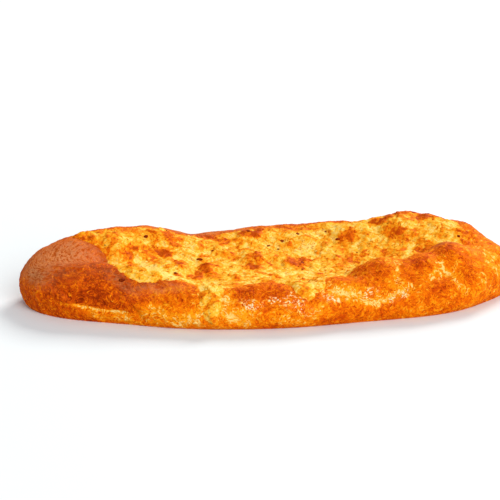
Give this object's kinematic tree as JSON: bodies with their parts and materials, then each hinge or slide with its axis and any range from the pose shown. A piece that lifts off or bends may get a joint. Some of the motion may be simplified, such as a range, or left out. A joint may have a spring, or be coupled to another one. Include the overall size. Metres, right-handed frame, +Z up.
{
  "type": "cheese roll",
  "caption": "Long oval bread roll with a raised, uneven crust rim and golden baked cheese filling its hollow and spilling over the near edge.",
  "frame": {"origin": "on the table under the middle of the loaf", "axes": "+X along the loaf, +Y to the side with the higher rim, +Z up"},
  "size_m": [0.267, 0.1043, 0.0386],
  "materials": {
    "bread_dough": "egg-washed crust, baked orange to red-brown, softly glossy",
    "cheese_topping": "baked cheese, pale gold with orange-browned blisters"
  },
  "bodies": {
    "root": {"bread_dough": "bread_dough", "cheese_topping": "cheese_topping"}
  },
  "joints": []
}
